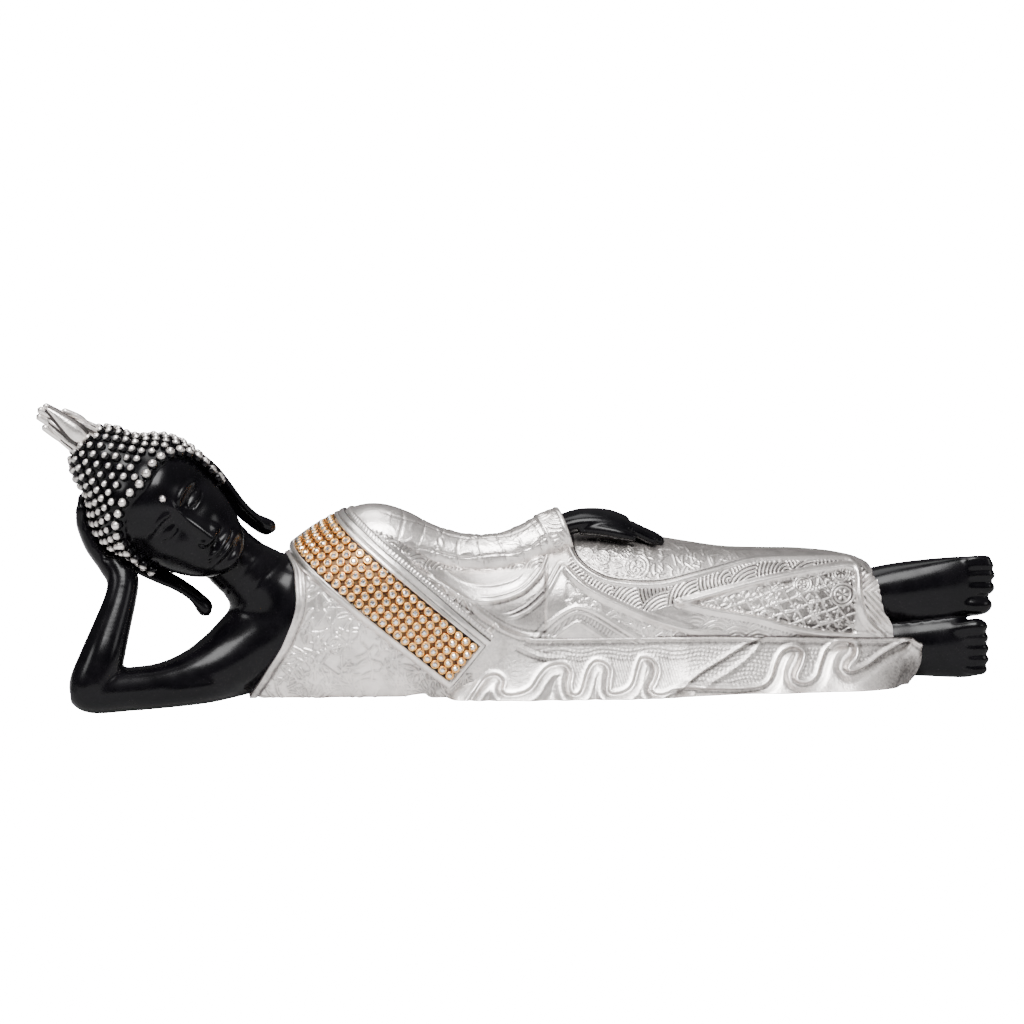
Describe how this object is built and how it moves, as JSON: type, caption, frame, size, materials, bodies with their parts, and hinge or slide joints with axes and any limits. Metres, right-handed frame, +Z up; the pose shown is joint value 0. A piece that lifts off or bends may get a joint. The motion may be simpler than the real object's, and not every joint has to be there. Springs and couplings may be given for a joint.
{
  "type": "reclining buddha statue",
  "caption": "Resin figure of a reclining Buddha asleep on its right side, head propped on one hand, with a patterned silver robe and a strip of clear crystals on the sash.",
  "frame": {"origin": "in the middle of the figure's box, on the flat surface that it lies on", "axes": "X runs from the head towards the feet, the figure faces -Y, Z is up"},
  "size_m": [0.3778, 0.076, 0.1178],
  "materials": {
    "satin_black_paint": "resin casting painted satin black, with the robe, the tips of the curls and the flame in silver paint",
    "gold_setting": "gold-coloured cups with clear stones"
  },
  "bodies": {
    "root": {"cast_figure": "satin_black_paint", "crystal_strip": "gold_setting"}
  },
  "joints": []
}
